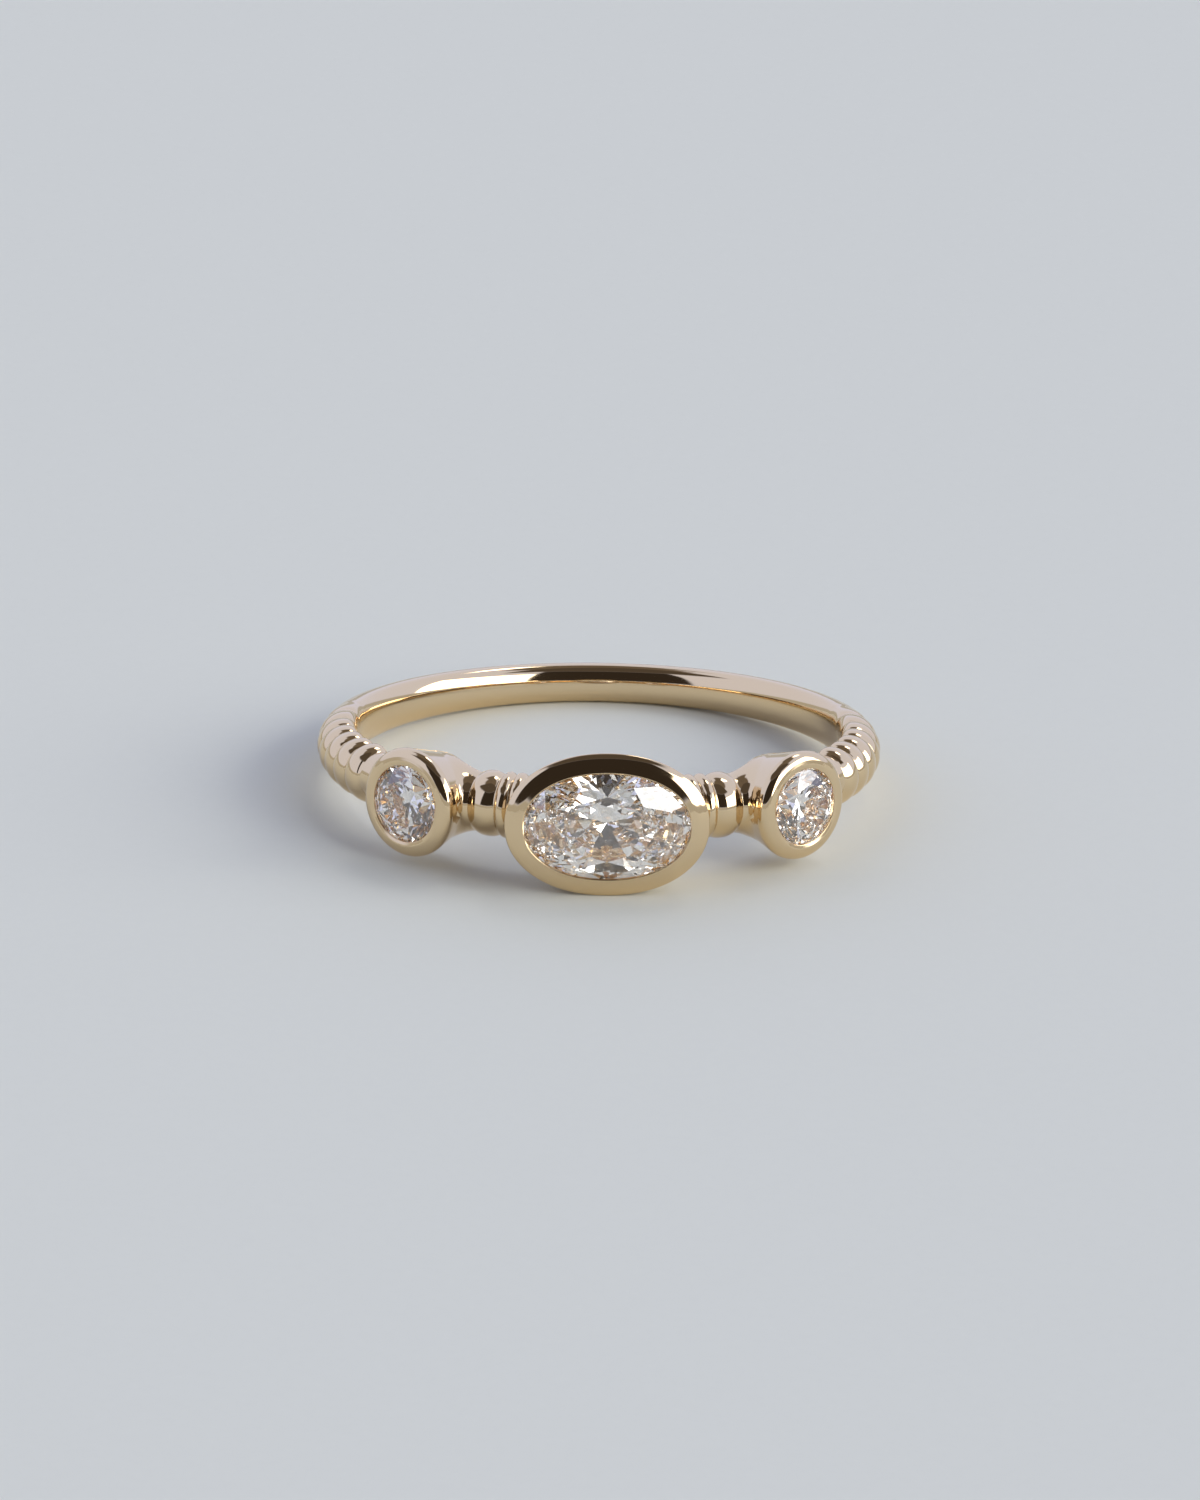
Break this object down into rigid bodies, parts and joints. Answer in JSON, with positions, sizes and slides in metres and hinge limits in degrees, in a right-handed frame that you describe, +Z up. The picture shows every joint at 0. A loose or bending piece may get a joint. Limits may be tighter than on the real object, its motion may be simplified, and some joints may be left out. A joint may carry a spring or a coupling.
{
  "type": "three stone ring",
  "caption": "Finger ring with an oval stone between two round ones in full bezels, on a half-round band with beads between the bezels and ribbed shoulders.",
  "frame": {"origin": "Centre of the finger hole, halfway through the band.", "axes": "+Z is up as the ring lies on its side. The head with the oval stone faces -Y, and X runs across the head. The finger hole's axis leans from +Z towards +Y by the resting tilt, 5.2 degrees."},
  "size_m": [0.0198, 0.0212, 0.0049],
  "materials": {
    "polished_gold": "polished",
    "clear_stone": "polished facets"
  },
  "bodies": {
    "root": {"gold_mount": "polished_gold", "oval_stone": "clear_stone", "left_round_stone": "clear_stone", "right_round_stone": "clear_stone"}
  },
  "joints": []
}
